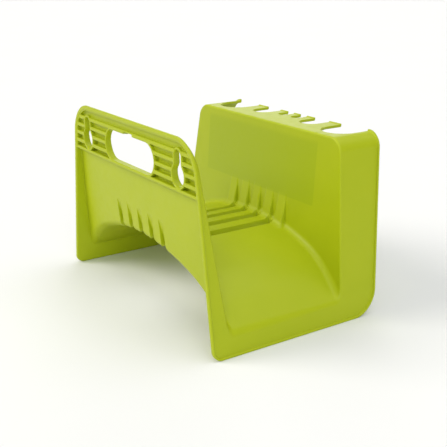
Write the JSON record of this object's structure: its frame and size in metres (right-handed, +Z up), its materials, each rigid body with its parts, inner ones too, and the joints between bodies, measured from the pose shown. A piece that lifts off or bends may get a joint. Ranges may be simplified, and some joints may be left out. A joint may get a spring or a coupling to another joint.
{
  "type": "wall-mounted garden hose hanger",
  "caption": "Plastic wall hanger for a garden hose: an arched saddle between a tall back plate with a hand hole and keyholes and a boxed front plate with a notched clip shelf.",
  "frame": {"origin": "on the surface the hanger stands on, under the middle of its bounding box", "axes": "+X across the hanger, +Y out from the wall towards the front plate, +Z up"},
  "size_m": [0.2736, 0.1878, 0.1725],
  "materials": {
    "lime_plastic": "satin moulded polypropylene, lime green"
  },
  "bodies": {
    "root": {"back_panel": "lime_plastic", "band_skin": "lime_plastic", "rear_rim": "lime_plastic", "hand_grip_collar": "lime_plastic", "band_top_rib": "lime_plastic", "band_ledge_rib": "lime_plastic", "keyhole_boss_left": "lime_plastic", "rib_ladder_inner_left": "lime_plastic", "rib_ladder_outer_left": "lime_plastic", "end_wall_left": "lime_plastic", "edge_bead_left": "lime_plastic", "keyhole_boss_right": "lime_plastic", "rib_ladder_inner_right": "lime_plastic", "rib_ladder_outer_right": "lime_plastic", "end_wall_right": "lime_plastic", "edge_bead_right": "lime_plastic", "saddle": "lime_plastic", "front_plate": "lime_plastic", "rear_support_rib_1": "lime_plastic", "front_support_rib_1": "lime_plastic", "rear_support_rib_2": "lime_plastic", "front_support_rib_2": "lime_plastic", "rear_support_rib_3": "lime_plastic", "front_support_rib_3": "lime_plastic", "rear_support_rib_4": "lime_plastic", "front_support_rib_4": "lime_plastic", "rear_support_rib_5": "lime_plastic", "front_support_rib_5": "lime_plastic", "clip_rail": "lime_plastic", "blank_pad": "lime_plastic"}
  },
  "joints": []
}
